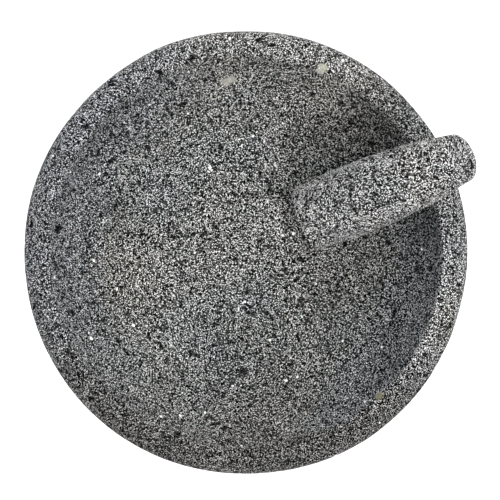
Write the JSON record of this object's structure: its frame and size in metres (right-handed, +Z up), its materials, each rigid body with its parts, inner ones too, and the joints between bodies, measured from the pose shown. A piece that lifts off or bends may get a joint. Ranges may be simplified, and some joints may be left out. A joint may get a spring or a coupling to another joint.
{
  "type": "molcajete",
  "caption": "Carved basalt mortar bowl with a sloping lip on stout conical legs, and a loose barrel-shaped hand stone leaning in its basin.",
  "frame": {"origin": "the point below the centre of the basin, on the plane that the three feet rest on", "axes": "+Z up along the mortar's axis; +X towards the side on which the tejolote leans over the lip (it leans 21.6 degrees from +X towards +Y); +Y completes the right-handed frame"},
  "size_m": [0.2546, 0.254, 0.1682],
  "materials": {
    "mortar_stone": "rough, vesicular, unpolished",
    "tejolote_stone": "rough, coarser pores, unpolished"
  },
  "bodies": {
    "mortar": {"mortar_bowl": "mortar_stone"},
    "tejolote": {"tejolote": "tejolote_stone"}
  },
  "joints": [
    {"name": "tejolote_lift", "type": "slide", "parent": "mortar", "child": "tejolote", "axis": [0, 0, 1], "range_m": [0, 0.1]}
  ]
}
